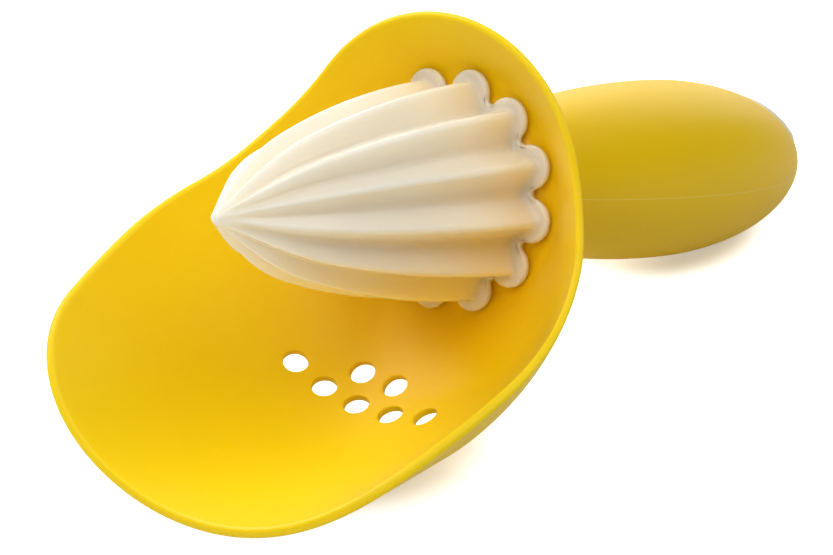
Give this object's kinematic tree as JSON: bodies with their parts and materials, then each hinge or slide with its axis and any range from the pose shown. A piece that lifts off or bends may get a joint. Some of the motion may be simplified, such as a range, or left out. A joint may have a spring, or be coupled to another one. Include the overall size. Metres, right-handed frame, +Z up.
{
  "type": "citrus reamer",
  "caption": "Hand-held citrus reamer: ridged pointed cone on a scalloped flange, in an open bell-shaped catcher with strainer holes, on a soft ovoid handle.",
  "frame": {"origin": "on the surface the tool lies on, under the middle of its length and width", "axes": "+Z up, +X along the tool from handle to reamer tip and pouring lip, +Y across"},
  "size_m": [0.179, 0.0874, 0.0694],
  "materials": {
    "reamer_plastic": "ivory white, satin gloss moulded plastic",
    "seal_rubber": "pale silicone",
    "bowl_plastic": "bright lemon yellow moulded plastic, soft sheen",
    "core_plastic": "white moulded plastic",
    "grip_rubber": "soft-touch yellow moulded rubber, satin",
    "insert_plastic": "white moulded plastic, bare",
    "screw_steel": "stainless steel"
  },
  "bodies": {
    "root": {"reamer_head": "reamer_plastic", "flange_seal": "seal_rubber", "catcher_bowl": "bowl_plastic", "core_upper": "core_plastic", "core_lower": "core_plastic", "handle_grip": "grip_rubber", "end_insert": "insert_plastic", "tie_screw": "screw_steel", "screw_washer": "screw_steel"}
  },
  "joints": []
}
